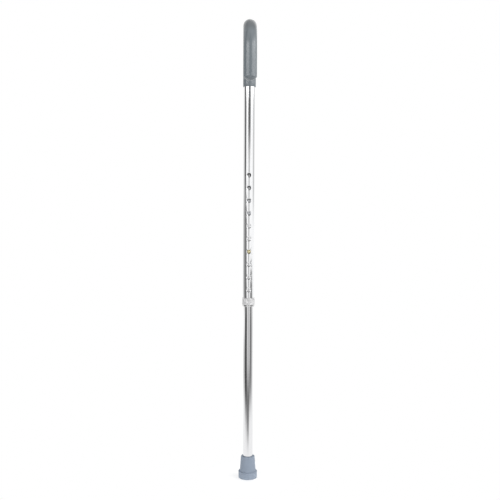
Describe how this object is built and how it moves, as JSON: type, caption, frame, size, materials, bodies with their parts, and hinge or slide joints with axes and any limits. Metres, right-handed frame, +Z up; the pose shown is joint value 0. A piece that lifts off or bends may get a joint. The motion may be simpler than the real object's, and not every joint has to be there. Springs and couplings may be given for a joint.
{
  "type": "adjustable walking cane",
  "caption": "Aluminium walking cane with a vinyl-covered crook handle, telescoping shaft set by a snap button, lock collar and rubber ferrule.",
  "frame": {"origin": "middle of the ferrule's foot, on the shaft's axis, where the cane stands on the floor", "axes": "+Z up the shaft; the crook's free leg, the height holes and the snap button face -Y; X is across the cane"},
  "size_m": [0.0372, 0.1474, 0.8978],
  "materials": {
    "polished_aluminium": "polished and clear anodised",
    "lower_aluminium": "polished and clear anodised",
    "grey_vinyl": "smooth soft vinyl",
    "button_brass": "yellow passivated plating",
    "spring_steel": "spring temper",
    "collar_aluminium": "satin knurl with bright bevels",
    "white_nylon": "moulded nylon",
    "grey_rubber": "moulded rubber",
    "disc_steel": "zinc plated"
  },
  "bodies": {
    "lower_shaft": {"lower_tube": "lower_aluminium", "ferrule": "grey_rubber", "ferrule_disc": "disc_steel", "button_spring": "spring_steel"},
    "upper_shaft": {"upper_tube": "polished_aluminium", "grip_sleeve": "grey_vinyl"},
    "button": {"snap_button": "button_brass"},
    "ring": {"clamp_ring": "white_nylon"},
    "collar": {"lock_collar": "collar_aluminium"}
  },
  "joints": [
    {"name": "height_adjust", "type": "slide", "parent": "lower_shaft", "child": "upper_shaft", "axis": [0, 0, 1], "range_m": [-0.1524, 0.0762], "deforming": ["snap_button"]},
    {"name": "button_press", "type": "slide", "parent": "lower_shaft", "child": "button", "axis": [0, 1, 0], "range_m": [0, 0.0035], "stiffness_N_per_m": 3000, "springref_m": -0.0015, "deforming": ["button_spring"]},
    {"name": "collar_travel", "type": "slide", "parent": "upper_shaft", "child": "ring", "axis": [0, 0, -1], "range_m": [0, 0.002]},
    {"name": "collar_turn", "type": "hinge", "parent": "ring", "child": "collar", "pos_m": [0, 0, 0.35], "axis": [0, 0, -1], "range_deg": [0, 720]}
  ],
  "couplings": [
    {"joint": "collar_travel", "follows": "collar_turn", "m_per_rad": 0.00015915}
  ]
}
